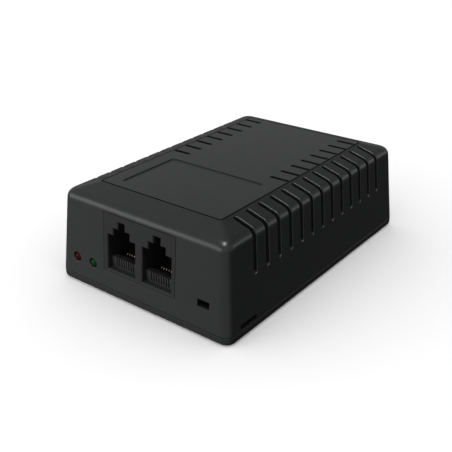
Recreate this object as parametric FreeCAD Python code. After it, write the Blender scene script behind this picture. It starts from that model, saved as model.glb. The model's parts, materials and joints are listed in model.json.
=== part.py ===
import FreeCAD, Part
import math
import os

from FreeCAD import Vector

# Power over Ethernet injector: a two-part black plastic case around a mains supply board.
# Millimetres. X runs along the front face, the sockets face -Y, Z is up.
# The origin is the centre of the footprint, on the surface that the rubber feet stand on.

# ---- case ----
WIDTH = 72.0
DEPTH = 105.6
FOOT_PROUD = 0.3
CASE_BOTTOM = FOOT_PROUD
SEAM_Z = CASE_BOTTOM + 2.9
SEAM_GAP = 0.15
SHOULDER_Z = CASE_BOTTOM + 31.4
PANEL_Z = CASE_BOTTOM + 34.0
DRAFT = 0.086
CORNER_R = 3.4
SHOULDER_R = 3.2
WALL = 2.0
INNER_SHOULDER_R = 1.4
PANEL_CORNER_R = 0.9
BAND = 8.8
SMALL_EDGE = 0.22
BEYOND = 10.0
OVERLAP = 0.1
TOUCHING = 1e-3

# ---- top cover details ----
GROOVE_W = 0.55
GROOVE_DEPTH = 0.5
LABEL_HALF_X = 19.3
LABEL_Y = (-37.6, -12.3)
LABEL_DEPTH = 0.35
LABEL_R = 1.0
VENT_COUNT = 13
VENT_PITCH = 6.39
VENT_FIRST_Y = -37.8
VENT_W = 1.6
VENT_ROUND = 0.3
VENT_INNER_X = 25.6
VENT_LOW_Z = CASE_BOTTOM + 18.0
VENT_LEAN = 0.0015
PANEL_VENT_FIRST = 5
PANEL_VENT_W = 1.6
PANEL_VENT_X = (17.2, 24.5)
LOCK_SLOT_X = (23.9, 28.4)
LOCK_SLOT_Z = (CASE_BOTTOM + 10.1, CASE_BOTTOM + 12.5)
PRY_SLOT_Y = (-46.8, -38.7)
PRY_SLOT_Z = (SEAM_Z + 0.5, SEAM_Z + 2.1)

# ---- fastening ----
BOSS_X = 29.2
BOSS_Y = (-43.2, 44.6)
BOSS_R = 3.0
BOSS_LOW_Z = 6.2
PILOT_R = 1.3
PILOT_DEPTH = 14.0
COLUMN_R = 4.2
COLUMN_GAP = 0.2
SCREW_SHANK_R = 1.25
SCREW_LENGTH = 10.5
SCREW_TIP = 0.6
SCREW_HEAD_R = 2.7
SCREW_HEAD_H = 1.6
SCREW_HEAD_EDGE = 0.6
SCREW_HEAD_GAP = 0.3
SCREW_SHANK_GAP = 0.35
CROSS_LENGTH = 3.2
CROSS_HALF_W = 0.4
CROSS_DEPTH = 1.0
FLOOR_TOP = CASE_BOTTOM + WALL
POCKET_TOP = CASE_BOTTOM + 2.3
BASE_EDGE_R = 1.2
LIP_INSET = (2.3, 3.5)
LIP_INNER_R = 0.5
LIP_TOP = SEAM_Z + 1.7
FOOT_R = 4.0
FOOT_PLACES = (21.5, 43.5)
FOOT_SEAT = 0.6
FOOT_GAP = 0.15
FOOT_EDGE = 0.15

# ---- circuit board ----
BOARD_BOTTOM = CASE_BOTTOM + 6.0
BOARD_TOP = BOARD_BOTTOM + 1.6
BOARD_HALF_X = 32.0
BOARD_Y = (-49.6, 48.4)
BOARD_CORNER_R = 1.0
BOARD_HOLE_R = 1.4
BOARD_SCREW_X = 28.8
BOARD_SCREW_Y = (-26.0, 36.0)
BOARD_SCREW_R = 1.0
BOARD_SCREW_HEAD = (2.3, 1.6)
BOARD_CROSS_LENGTH = 2.6
BOARD_POST_GAP = 0.6
STANDOFF_R = 2.75
STANDOFF_BORE = (1.1, 0.6)
SCREW_END_GAP = 0.3
SHEET_INSET = 5.0
SHEET_GAP = 0.4
SHEET_THICKNESS = 0.4

# ---- front sockets ----
WINDOW_HALF_X = 15.0
WINDOW_Z = (CASE_BOTTOM + 8.7, CASE_BOTTOM + 29.05)
WINDOW_GAP = 0.08
WINDOW_EDGE = 0.2
JACK_RECESS = 0.12
PORT_EDGE = 0.3
PORT_PITCH = 14.9
PORT_HALF_X = 5.9
SHOULDER_HALF_X = 3.5
NOTCH_HALF_X = 1.4
PORT_Z = CASE_BOTTOM + 9.9
PORT_TOP = CASE_BOTTOM + 21.8
KEY_TOP = CASE_BOTTOM + 24.3
NOTCH_TOP = CASE_BOTTOM + 26.8
PORT_BACK_Y = -38.4
JACK_BODY_Y = (-47.9, -33.0)
JACK_BODY_HALF_X = 15.6
JACK_BODY_TOP = CASE_BOTTOM + 28.4
CONTACT_COUNT = 8
CONTACT_PITCH = 1.02
CONTACT_R = 0.2
CONTACT_BEND = 0.55
CONTACT_CREST = (-45.3, PORT_Z + 2.95)
CONTACT_SLOPE = 0.5
COMB_GAP = 0.1
COMB_Y = (-50.0, -47.8)
COMB_HEIGHT = 3.65
COMB_SLOT_W = 0.52
COMB_SLOT_DEPTH = 1.2
COMB_SILL = 0.5
WIRE_HOLE_HALF = 0.6
WIRE_SUNK = 1.2
COMB_FLOOR = 2.0
GUIDE_DEPTH = 1.4
GUIDE_HEIGHT = 9.6
GUIDE_SLOT_Z = (PORT_Z + 4.6, PORT_Z + 7.6)

# ---- indicator lamps ----
LED_X = (-27.8, -20.3)
LED_Z = CASE_BOTTOM + 9.5
LED_R = 1.5
LED_COLLAR = (0.3, 0.9)
LED_HOLE_R = 1.6
LED_HOLE_RIM = 0.25
LED_TIP_Y = -52.4
LED_BACK_Y = -48.1
LEAD_SPREAD = 1.27
LEAD_R = 0.22
LEAD_BEND = 0.4
LEAD_RUN = 0.75

# ---- mains inlet ----
INLET_Z = CASE_BOTTOM + 17.8
INLET_HALF_X = 13.6
INLET_HALF_Z = 9.9
INLET_FACE_Y = 52.4
INLET_BACK_Y = 30.5
INLET_GAP = 0.15
CAVITY_HALF_X = 12.2
CAVITY_HALF_Z = 8.4
CAVITY_DEPTH = 17.5
CAVITY_CUT = 5.5
PIN_HALF_X = 1.0
PIN_HALF_Z = 2.0
PIN_SPREAD = 7.0
PIN_OFFSET_Z = 2.0
PIN_SET_BACK = 2.7
EARTH_SET_BACK = 1.2
PIN_TIP = 0.5
INLET_EDGE_R = 0.5
EAR_HALF_X = 15.6
EAR_HALF_Z = 8.0
EAR_Y = (46.6, 48.4)
TAIL_HALF_X = 1.5
TAIL_THICKNESS = 0.8

# ---- through-hole parts: places on the board ----
COMPONENT_LEAD_R = 0.35
DISC_STAND = 1.8
DISC_LEAD_HALF = 2.5
DISC_LEAD_OVERLAP = 1.2
DISC_ROUNDING = 0.6
FUSE_X = (-25.7, -17.3)
FUSE_Y = (31.6, 35.4)
FUSE_HEIGHT = 7.6
FUSE_STAND = 0.6
FUSE_LEAD_HALF = 2.5
VARISTOR_PLACE = (-20.5, 39.5)
VARISTOR_SIZE = (5.0, 3.6)
THERMISTOR_PLACE = (28.0, 24.0)
THERMISTOR_SIZE = (4.5, 3.4)
Y_CAPACITOR_PLACE = (-16.0, -1.0)
Y_CAPACITOR_SIZE = (3.9, 3.2)
X2_X = (17.0, 25.4)
X2_Y = (25.2, 42.0)
X2_HEIGHT = 15.0
CHOKE_PLACE = (4.5, 22.0)
CHOKE_R = (3.4, 6.4)
CHOKE_Z = (BOARD_TOP + 2.0, BOARD_TOP + 9.0)
TURN_R = 0.35
TURN_GAP = 0.55
TURN_BEND = 0.42
TURNS_EACH_WAY = 3
TURN_STEP = 16
BRIDGE_X = (-9.3, -5.7)
BRIDGE_Y = (15.6, 29.0)
BRIDGE_Z = (BOARD_TOP + 2.5, BOARD_TOP + 13.0)
BRIDGE_EDGE = 0.5
BRIDGE_LEADS = 4
BRIDGE_FIRST_Y = 17.2
BRIDGE_PITCH = 3.4
BULK_PLACE = (-21.0, 21.0)
BULK_SIZE = (8.0, 19.5)
OUTPUT_CAN_PLACES = ((26.0, -13.5), (26.0, -4.5), (16.8, -13.0))
OUTPUT_CAN_SIZE = (4.0, 13.5)
CAN_EDGE_R = 0.5
CAN_GROOVE_Z = BOARD_TOP + 1.8
CAN_GROOVE_R = 0.6
CAN_SCORE = 0.25
INDUCTOR_PLACE = (-21.5, -33.0)
INDUCTOR_R = (3.6, 4.2)
INDUCTOR_HEIGHT = 8.5
INDUCTOR_FLANGE = 1.2

# ---- power packages and their heat sinks ----
PRIMARY_FACE_X = 19.0
PRIMARY_Y = 14.0
PRIMARY_SINK_Y = (3.5, 24.0)
SECONDARY_FACE_X = -24.0
SECONDARY_Y = -15.0
SECONDARY_SINK_Y = (-23.5, -6.0)
TAB_STAND = 3.5
PACKAGE_HALF_Y = 5.0
PACKAGE_THICKNESS = 4.4
PACKAGE_HEIGHT = 9.0
PACKAGE_LEAD_X = 2.4
PACKAGE_PITCH = 2.54
TAB_THICKNESS = 1.3
TAB_HEIGHT = 6.2
TAB_HOLE_R = 1.8
TAB_HOLE_Z = BOARD_TOP + TAB_STAND + 12.2
SINK_THICKNESS = 2.0
SINK_HEIGHT = 21.0
SINK_FOLD = (3.5, 1.6)
TAB_SCREW_R = 1.45
TAB_SCREW_HEAD = (2.7, 2.1)
TAB_NUT_HEIGHT = 2.2
TAB_SCREW_END = 0.2

# ---- transformer ----
TRANSFORMER_Y = 3.5
LEG_HALF = 3.5
CORE_HALF_X = 12.6
CORE_HALF_Y = 10.0
CORE_Z = (BOARD_TOP + 4.8, BOARD_TOP + 11.8)
CORE_MEET = 0.02
COIL_HALF_Y = 6.8
COIL_HALF_X = 8.4
COIL_BELOW = 3.4
COIL_ABOVE = 3.8
COIL_EDGE_R = 2.5
BOBBIN_WALL = 1.0
BOBBIN_GAP = 0.1
FLANGE_HALF_X = 8.8
FLANGE_THICKNESS = 0.9
FLANGE_ABOVE = 4.2
FLANGE_STAND = 1.0
RAIL_REACH = 2.8
RAIL_TOP = CORE_Z[0] - 0.2

# ---- chips: place, then length, breadth and height ----
PWM_CHIP = ((27.2, 5.0), (5.0, 4.0, 1.5))
POE_CHIP = ((0.0, -12.5), (10.3, 7.4, 2.3))
OPTO_CHIP = ((16.6, -4.6), (4.6, 6.2, 3.4))
MAGNETICS_X = 9.2
MAGNETICS_Y = -24.5
MAGNETICS_SIZE = (16.4, 11.2, 5.8)
CHIP_STAND = 0.15
CHIP_EDGE = 0.2
CHIP_LEG_HALF = 0.2
CHIP_LEG_KNEE = 0.4
CHIP_LEG_REACH = 1.0
CHIP_LEG_THICKNESS = 0.2
DIMPLE_INSET = 0.8
DIMPLE_R = 0.35
DIMPLE_DEPTH = 0.1
SMALL_CHIP_HALF = (0.6, 1.0)
SMALL_CHIP_HEIGHT = 0.6
SMALL_CHIP_ROWS = (-15.5, -12.0, -8.9)
SMALL_CHIP_COLUMNS = (-16.0, -13.2, -10.4, 8.2, 10.6)
DRIVER_CHIP_XS = (24.4, 27.0, 29.6)
DRIVER_CHIP_Y = 11.0


# ---------------------------------------------------------------- helpers

def box(x, y, z):
    """A block between two limits on each axis."""
    return Part.makeBox(x[1] - x[0], y[1] - y[0], z[1] - z[0], Vector(x[0], y[0], z[0]))


def rod(x, y, z, radius):
    """An upright cylinder between two heights."""
    return Part.makeCylinder(radius, z[1] - z[0], Vector(x, y, z[0]), Vector(0, 0, 1))


def rod_x(x, y, z, radius):
    """A cylinder lying along X."""
    return Part.makeCylinder(radius, x[1] - x[0], Vector(x[0], y, z), Vector(1, 0, 0))


def rod_y(x, y, z, radius):
    """A cylinder lying along Y."""
    return Part.makeCylinder(radius, y[1] - y[0], Vector(x, y[0], z), Vector(0, 1, 0))


def prism_x(points, x):
    """A profile given as (y, z) points, extruded along X."""
    corners = [Vector(x[0], y, z) for y, z in points]
    face = Part.Face(Part.makePolygon(corners + corners[:1]))
    return face.extrude(Vector(x[1] - x[0], 0, 0))


def prism_y(points, y):
    """A profile given as (x, z) points, extruded along Y."""
    corners = [Vector(x, y[0], z) for x, z in points]
    face = Part.Face(Part.makePolygon(corners + corners[:1]))
    return face.extrude(Vector(0, y[1] - y[0], 0))


def rounded_outline(half_x, half_y, radius, z):
    """A closed rectangle with round corners, level at height z."""
    edges = []
    ends = []
    for sx, sy, start in ((1, 1, 0), (-1, 1, 90), (-1, -1, 180), (1, -1, 270)):
        cx = sx * (half_x - radius)
        cy = sy * (half_y - radius)
        turn = [math.radians(start + step) for step in (0, 45, 90)]
        arc = [Vector(cx + radius * math.cos(a), cy + radius * math.sin(a), z) for a in turn]
        if ends:
            edges.append(Part.LineSegment(ends[-1], arc[0]).toShape())
        edges.append(Part.Arc(arc[0], arc[1], arc[2]).toShape())
        ends.extend((arc[0], arc[2]))
    edges.append(Part.LineSegment(ends[-1], ends[0]).toShape())
    return Part.Wire(edges)


def plate(half_x, half_y, radius, z):
    """A level plate with round corners between two heights."""
    face = Part.Face(rounded_outline(half_x, half_y, radius, z[0]))
    return face.extrude(Vector(0, 0, z[1] - z[0]))


def upright_edges(shape):
    """The edges that run along Z."""
    found = []
    for edge in shape.Edges:
        span = edge.BoundBox
        if span.XLength < TOUCHING and span.YLength < TOUCHING:
            found.append(edge)
    return found


def level_edges(shape, z):
    """The edges that lie level at height z."""
    found = []
    for edge in shape.Edges:
        span = edge.BoundBox
        if abs(span.ZMin - z) < TOUCHING and abs(span.ZMax - z) < TOUCHING:
            found.append(edge)
    return found


def soft_box(x, y, z, radius):
    """A block with its upright edges rounded."""
    block = box(x, y, z)
    return block.makeFillet(radius, upright_edges(block))


def mirrored(shape):
    """The same shape on the other side of the YZ plane."""
    return shape.mirror(Vector(0, 0, 0), Vector(1, 0, 0))


def bent_wire(points, bend, radius):
    """A round wire through the points, with an arc of radius bend at each corner."""
    edges = []
    start = points[0]
    for before, corner, after in zip(points, points[1:], points[2:]):
        back = (before - corner).normalize()
        ahead = (after - corner).normalize()
        half = back.getAngle(ahead) / 2
        reach = bend / math.tan(half)
        middle = (back + ahead).normalize()
        centre = corner + middle * (bend / math.sin(half))
        first = corner + back * reach
        last = corner + ahead * reach
        edges.append(Part.LineSegment(start, first).toShape())
        edges.append(Part.Arc(first, centre - middle * bend, last).toShape())
        start = last
    edges.append(Part.LineSegment(start, points[-1]).toShape())
    line = Part.Wire(edges)
    direction = points[1] - points[0]
    section = Part.Wire(Part.makeCircle(radius, points[0], direction))
    return line.makePipeShell([section], True, False)


def group(solids):
    """Several separate solids kept together as one part."""
    return Part.makeCompound(solids)


def wall_y(z):
    """How far the outside of the front and rear walls is from the middle at height z."""
    return DEPTH / 2 - DRAFT * (z - SEAM_Z)


def wall_x(z):
    """How far the outside of the side walls is from the middle at height z."""
    return WIDTH / 2 - DRAFT * (z - SEAM_Z)


# ---------------------------------------------------------------- top cover

def panel_half():
    """Half sizes of the flat centre panel, where the sloping bands start."""
    return wall_x(SHOULDER_Z) - BAND, wall_y(SHOULDER_Z) - BAND


def cover_volume(inset, shoulder_r):
    """The cover's outer volume, or the hollow inside it when inset by the wall."""
    radius = max(CORNER_R - inset, PANEL_CORNER_R)
    low = rounded_outline(WIDTH / 2 - inset, DEPTH / 2 - inset, radius, SEAM_Z)
    ledge = SHOULDER_Z - inset
    high = rounded_outline(wall_x(SHOULDER_Z) - inset, wall_y(SHOULDER_Z) - inset, radius, ledge)
    panel_x, panel_y = panel_half()
    crown = rounded_outline(panel_x, panel_y, PANEL_CORNER_R, PANEL_Z - inset)
    walls = Part.makeLoft([low, high], True, True)
    roof = Part.makeLoft([high, crown], True, True)
    volume = walls.fuse(roof).removeSplitter()
    return volume.makeFillet(shoulder_r, level_edges(volume, ledge))


def vent_ys():
    """Centre lines of the slots, from the front to the rear."""
    return [VENT_FIRST_Y + number * VENT_PITCH for number in range(VENT_COUNT)]


def leaned(cutter, y):
    """Tilts a slot's cutter about its low end: the slots close up towards the top, as the case does."""
    angle = math.degrees(math.atan(VENT_LEAN * y))
    cutter.rotate(Vector(0, y, VENT_LOW_Z), Vector(1, 0, 0), angle)
    return cutter


def vent_y(y, z):
    """Y of the centre line, at height z, of the slot whose low end is at y."""
    return y * (1 - VENT_LEAN * (z - VENT_LOW_Z))


def wrap_vent(y):
    """Cutter for one slot that runs over the sloping band and down the side wall."""
    radius = VENT_W / 2
    x = VENT_INNER_X + radius
    z = VENT_LOW_Z + radius
    cutter = box((x, WIDTH / 2 + BEYOND), (y - radius, y + radius), (z, PANEL_Z + BEYOND))
    cutter = cutter.fuse(rod(x, y, (z, PANEL_Z + BEYOND), radius))
    cutter = cutter.fuse(rod_x((x, WIDTH / 2 + BEYOND), y, z, radius))
    return leaned(cutter.removeSplitter(), y)


def panel_vent(y):
    """Cutter for one flat slot in the panel, in line with a wrap-round slot."""
    radius = PANEL_VENT_W / 2
    inner, outer = PANEL_VENT_X
    heights = (PANEL_Z - 2 * WALL, PANEL_Z + BEYOND)
    cutter = box((inner + radius, outer - radius), (y - radius, y + radius), heights)
    cutter = cutter.fuse(rod(inner + radius, y, heights, radius))
    cutter = cutter.fuse(rod(outer - radius, y, heights, radius))
    return leaned(cutter.removeSplitter(), y)


def edge_middle(edge):
    """The point half way along an edge."""
    return edge.valueAt((edge.FirstParameter + edge.LastParameter) / 2)


def mouth_edges(shape, outside, y, side):
    """The edges of the slot at y that lie on the outside skin."""
    found = []
    for edge in shape.Edges:
        middle = edge_middle(edge)
        if abs(middle.y - vent_y(y, middle.z)) > VENT_W / 2 + OVERLAP:
            continue
        if side * middle.x < VENT_INNER_X - OVERLAP:
            continue
        if outside.distToShape(Part.Vertex(middle))[0] < TOUCHING:
            found.append(edge)
    return found


def soften_vents(shape, outside):
    """Rounds the mouth of every slot."""
    for side in (1, -1):
        for y in vent_ys():
            shape = shape.makeFillet(VENT_ROUND, mouth_edges(shape, outside, y, side))
    return shape


def panel_groove():
    """Cutter for the narrow groove round the panel."""
    half_x, half_y = panel_half()
    half = GROOVE_W / 2
    heights = (PANEL_Z - GROOVE_DEPTH, PANEL_Z + BEYOND)
    outer = plate(half_x + half, half_y + half, PANEL_CORNER_R + half, heights)
    inner = plate(half_x - half, half_y - half, PANEL_CORNER_R - half, heights)
    return outer.cut(inner)


def label_recess():
    """Cutter for the shallow recess that takes a rating label."""
    middle = sum(LABEL_Y) / 2
    half_y = (LABEL_Y[1] - LABEL_Y[0]) / 2
    recess = plate(LABEL_HALF_X, half_y, LABEL_R, (PANEL_Z - LABEL_DEPTH, PANEL_Z + BEYOND))
    recess.translate(Vector(0, middle, 0))
    return recess


def led_hole(x):
    """Cutter for one lamp hole, with a small countersink outside."""
    face = -wall_y(LED_Z)
    hole = rod_y(x, (face - BEYOND, face + 2 * WALL), LED_Z, LED_HOLE_R)
    start = Vector(x, face - LED_HOLE_RIM, LED_Z)
    wide = LED_HOLE_R + 2 * LED_HOLE_RIM
    rim = Part.makeCone(wide, LED_HOLE_R, 2 * LED_HOLE_RIM, start, Vector(0, 1, 0))
    return hole.fuse(rim)


def window_flare():
    """Cutter for the small chamfer round the outside of the socket window."""
    rings = []
    for grow, shift in ((2 * WINDOW_EDGE, -WINDOW_EDGE), (0, WINDOW_EDGE)):
        half = WINDOW_HALF_X + grow
        low = WINDOW_Z[0] - grow
        high = WINDOW_Z[1] + grow
        corners = [(-half, low), (half, low), (half, high), (-half, high)]
        points = [Vector(x, shift - wall_y(z), z) for x, z in corners]
        rings.append(Part.makePolygon(points + points[:1]))
    return Part.makeLoft(rings, True, True)


def front_openings():
    """Cutters for the socket window, the lamps and the lock slot."""
    through = (-DEPTH / 2 - BEYOND, JACK_BODY_Y[0] + OVERLAP)
    window = box((-WINDOW_HALF_X, WINDOW_HALF_X), through, WINDOW_Z)
    lock = box(LOCK_SLOT_X, through, LOCK_SLOT_Z)
    return [window, window_flare(), lock] + [led_hole(x) for x in LED_X]


def rear_opening():
    """Cutter for the mains inlet's window."""
    half_x = INLET_HALF_X + INLET_GAP
    half_z = INLET_HALF_Z + INLET_GAP
    through = (DEPTH / 2 - 4 * WALL, DEPTH / 2 + BEYOND)
    return box((-half_x, half_x), through, (INLET_Z - half_z, INLET_Z + half_z))


def screw_bosses():
    """The posts inside the cover that the case screws cut into."""
    heights = (BOSS_LOW_Z, PANEL_Z)
    posts = [rod(side * BOSS_X, y, heights, BOSS_R) for side in (1, -1) for y in BOSS_Y]
    return group(posts)


def pilot_holes():
    """Cutters for the holes up the screw posts."""
    heights = (BOSS_LOW_Z - 1, BOSS_LOW_Z + PILOT_DEPTH)
    return [rod(side * BOSS_X, y, heights, PILOT_R) for side in (1, -1) for y in BOSS_Y]


def top_cover():
    """Upper case half: four walls, sloping bands, panel, slots and screw posts."""
    skin = cover_volume(0, SHOULDER_R)
    skin = skin.makeFillet(SMALL_EDGE, level_edges(skin, SEAM_Z))
    cutters = [panel_groove(), label_recess()]
    for y in vent_ys():
        cutters.extend((wrap_vent(y), mirrored(wrap_vent(y))))
    shell = skin.cut(cutters)
    shell = soften_vents(shell, skin.Shells[0])
    shell = shell.cut(cover_volume(WALL, INNER_SHOULDER_R))
    posts = screw_bosses().common(cover_volume(WALL / 2, INNER_SHOULDER_R))
    posts = posts.cut([wrap_vent(y) for y in vent_ys()])
    shell = shell.fuse(posts.Solids)
    cutters = front_openings() + [rear_opening()] + pilot_holes()
    for y in vent_ys()[PANEL_VENT_FIRST:]:
        cutters.extend((panel_vent(y), mirrored(panel_vent(y))))
    slot = box((WIDTH / 2 - 2 * WALL, WIDTH / 2 + 1), PRY_SLOT_Y, PRY_SLOT_Z)
    cutters.extend((slot, mirrored(slot)))
    return shell.cut(cutters).removeSplitter()


# ---------------------------------------------------------------- base cover

def base_cover():
    """Lower case half: floor, rim, locating lip, screw columns and board standoffs."""
    rim_top = SEAM_Z - SEAM_GAP
    tray = plate(WIDTH / 2, DEPTH / 2, CORNER_R, (CASE_BOTTOM, rim_top))
    tray = tray.makeFillet(BASE_EDGE_R, level_edges(tray, CASE_BOTTOM))
    tray = tray.makeChamfer(SMALL_EDGE, level_edges(tray, rim_top))
    outer, inner = LIP_INSET
    lip = plate(WIDTH / 2 - outer, DEPTH / 2 - outer, CORNER_R - outer, (FLOOR_TOP, LIP_TOP))
    hollow = plate(WIDTH / 2 - inner, DEPTH / 2 - inner, LIP_INNER_R, (FLOOR_TOP, LIP_TOP + 1))
    solid = tray.fuse(lip).cut(hollow)
    column = (FLOOR_TOP, BOSS_LOW_Z - COLUMN_GAP)
    bore_r, bore_floor = STANDOFF_BORE
    additions = []
    cutters = []
    for side in (1, -1):
        x = side * BOSS_X
        for y in BOSS_Y:
            additions.append(rod(x, y, column, COLUMN_R))
            cutters.append(rod(x, y, (CASE_BOTTOM - 1, POCKET_TOP), SCREW_HEAD_R + SCREW_HEAD_GAP))
            cutters.append(rod(x, y, (POCKET_TOP, BOSS_LOW_Z), SCREW_SHANK_R + SCREW_SHANK_GAP))
        x = side * BOARD_SCREW_X
        for y in BOARD_SCREW_Y:
            additions.append(rod(x, y, (FLOOR_TOP, BOARD_BOTTOM), STANDOFF_R))
            cutters.append(rod(x, y, (FLOOR_TOP + bore_floor, BOARD_BOTTOM), bore_r))
    seat = (CASE_BOTTOM - 1, CASE_BOTTOM + FOOT_SEAT)
    cutters.extend(rod(x, y, seat, FOOT_R + FOOT_GAP) for x, y in foot_places())
    lip_gap = box((WIDTH / 2 - inner - OVERLAP, WIDTH / 2 - outer), PRY_SLOT_Y, (SEAM_Z, LIP_TOP + 1))
    cutters.extend((lip_gap, mirrored(lip_gap)))
    return solid.fuse(additions).cut(cutters).removeSplitter()


def case_screws():
    """Four self-tapping pan-head screws, driven up from below."""
    screws = []
    head_z = (POCKET_TOP - SCREW_HEAD_H, POCKET_TOP)
    tip_z = POCKET_TOP + SCREW_LENGTH
    for side in (1, -1):
        for y in BOSS_Y:
            x = side * BOSS_X
            head = rod(x, y, head_z, SCREW_HEAD_R)
            head = head.makeFillet(SCREW_HEAD_EDGE, level_edges(head, head_z[0]))
            head = head.cut(cross_recess(x, y, head_z[0], CROSS_LENGTH))
            shank = rod(x, y, (POCKET_TOP, tip_z), SCREW_SHANK_R)
            shank = shank.makeChamfer(SCREW_TIP, level_edges(shank, tip_z))
            screws.append(head.fuse(shank).removeSplitter())
    return group(screws)


def cross_recess(x, y, z, length):
    """Cutter for a cross drive in a face at height z."""
    long_half = length / 2
    depth = (z - CROSS_DEPTH, z + CROSS_DEPTH)
    one = box((x - long_half, x + long_half), (y - CROSS_HALF_W, y + CROSS_HALF_W), depth)
    two = box((x - CROSS_HALF_W, x + CROSS_HALF_W), (y - long_half, y + long_half), depth)
    return one.fuse(two)


def foot_places():
    """(x, y) of the four feet."""
    x, y = FOOT_PLACES
    return [(sx * x, sy * y) for sx in (1, -1) for sy in (1, -1)]


def rubber_feet():
    """Four round pads pressed into seats in the floor."""
    feet = []
    for x, y in foot_places():
        pad = rod(x, y, (0, CASE_BOTTOM + FOOT_SEAT), FOOT_R)
        feet.append(pad.makeChamfer(FOOT_EDGE, level_edges(pad, 0)))
    return group(feet)


# ---------------------------------------------------------------- front sockets

def jack_face_y(z):
    """The sockets' front face leans back with the wall, set in a little."""
    return -wall_y(z) + JACK_RECESS


def port_centres():
    """X of the two sockets, left then right."""
    return (-PORT_PITCH / 2, PORT_PITCH / 2)


def port_cutter(x):
    """Cutter for one socket: the body, the stepped keyway and the latch notch."""
    y = (-DEPTH / 2 - BEYOND, PORT_BACK_Y)
    body = box((x - PORT_HALF_X, x + PORT_HALF_X), y, (PORT_Z, PORT_TOP))
    key = box((x - SHOULDER_HALF_X, x + SHOULDER_HALF_X), y, (PORT_Z, KEY_TOP))
    notch = box((x - NOTCH_HALF_X, x + NOTCH_HALF_X), (y[0], y[1] - 2), (PORT_Z, NOTCH_TOP))
    return body.fuse([key, notch]).removeSplitter()


def port_rim_edges(shape):
    """The edges of the sockets on the leaning front face."""
    found = []
    for edge in shape.Edges:
        middle = edge_middle(edge)
        on_face = abs(middle.y - jack_face_y(middle.z)) < TOUCHING
        inside = abs(middle.x) < WINDOW_HALF_X - 1 and middle.z > WINDOW_Z[0] + 1
        if on_face and inside and middle.z < WINDOW_Z[1] - 1:
            found.append(edge)
    return found


def jack_housing():
    """The moulded block that holds both eight-way sockets side by side."""
    half = WINDOW_HALF_X - WINDOW_GAP
    low = WINDOW_Z[0] + WINDOW_GAP
    high = WINDOW_Z[1] - WINDOW_GAP
    back = JACK_BODY_Y[0] + 1
    profile = [(jack_face_y(low), low), (jack_face_y(high), high), (back, high), (back, low)]
    nose = prism_x(profile, (-half, half))
    body = box((-JACK_BODY_HALF_X, JACK_BODY_HALF_X), JACK_BODY_Y, (BOARD_TOP, JACK_BODY_TOP))
    housing = nose.fuse(body).removeSplitter()
    housing = housing.cut([port_cutter(x) for x in port_centres()])
    return housing.makeChamfer(PORT_EDGE, port_rim_edges(housing))


def contact_xs(x):
    """X of the eight contacts of the socket centred at x."""
    first = x - CONTACT_PITCH * (CONTACT_COUNT - 1) / 2
    return [first + number * CONTACT_PITCH for number in range(CONTACT_COUNT)]


def contact_block(x):
    """The floor of one socket: a slotted comb in front, and a slotted guide for the wires at the back."""
    across = (x - PORT_HALF_X + COMB_GAP, x + PORT_HALF_X - COMB_GAP)
    top = PORT_Z + COMB_HEIGHT
    comb = box(across, COMB_Y, (PORT_Z, top))
    floor = box(across, (COMB_Y[0], PORT_BACK_Y), (PORT_Z, PORT_Z + COMB_FLOOR))
    guide = box(across, (PORT_BACK_Y - GUIDE_DEPTH, PORT_BACK_Y), (PORT_Z, PORT_Z + GUIDE_HEIGHT))
    block = comb.fuse([floor, guide]).removeSplitter()
    front = (COMB_Y[0] - 1, COMB_Y[0] + COMB_SLOT_DEPTH)
    hole = (CONTACT_CREST[0] - WIRE_HOLE_HALF, CONTACT_CREST[0] + WIRE_HOLE_HALF)
    slots = []
    for slot_x in contact_xs(x):
        width = (slot_x - COMB_SLOT_W / 2, slot_x + COMB_SLOT_W / 2)
        slots.append(box(width, front, (PORT_Z + COMB_SILL, top + 1)))
        slots.append(box(width, (front[1], COMB_Y[1] + 1), (top - COMB_SLOT_DEPTH, top + 1)))
        slots.append(box(width, hole, (PORT_Z + COMB_SILL, top)))
        slots.append(box(width, (PORT_BACK_Y - 2 * GUIDE_DEPTH, PORT_BACK_Y), GUIDE_SLOT_Z))
    return block.cut(slots)


def contacts(x):
    """Eight spring wires: up out of the floor behind the comb, and back at a rising slope."""
    wires = []
    y, crest = CONTACT_CREST
    end_y = PORT_BACK_Y - GUIDE_DEPTH / 2
    for wire_x in contact_xs(x):
        points = [Vector(wire_x, y, PORT_Z + COMB_FLOOR - WIRE_SUNK)]
        points.append(Vector(wire_x, y, crest))
        points.append(Vector(wire_x, end_y, crest + CONTACT_SLOPE * (end_y - y)))
        wires.append(bent_wire(points, CONTACT_BEND, CONTACT_R))
    return group(wires)


# ---------------------------------------------------------------- lamps

def led(x):
    """A 3 mm lamp lying along Y, with a domed tip and a collar at the back."""
    body = rod_y(x, (LED_TIP_Y + LED_R, LED_BACK_Y), LED_Z, LED_R)
    dome = Part.makeSphere(LED_R, Vector(x, LED_TIP_Y + LED_R, LED_Z))
    collar_r = LED_R + LED_COLLAR[0]
    collar = rod_y(x, (LED_BACK_Y - LED_COLLAR[1], LED_BACK_Y), LED_Z, collar_r)
    return body.fuse([dome, collar]).removeSplitter()


def led_leads():
    """Two bent leads for each lamp, down to the board."""
    leads = []
    for x in LED_X:
        for side in (1, -1):
            lead_x = x + side * LEAD_SPREAD
            points = [Vector(lead_x, LED_BACK_Y, LED_Z)]
            points.append(Vector(lead_x, LED_BACK_Y + LEAD_RUN, LED_Z))
            points.append(Vector(lead_x, LED_BACK_Y + LEAD_RUN, BOARD_TOP))
            leads.append(bent_wire(points, LEAD_BEND, LEAD_R))
    return group(leads)


# ---------------------------------------------------------------- mains inlet

def cut_corner_profile(half_x, half_z, cut):
    """Inlet outline as (x, z): a rectangle with its two top corners cut off."""
    low = INLET_Z - half_z
    high = INLET_Z + half_z
    right = [(half_x, low), (half_x, high - cut), (half_x - cut, high)]
    left = [(-half_x + cut, high), (-half_x, high - cut), (-half_x, low)]
    return right + left


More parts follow.
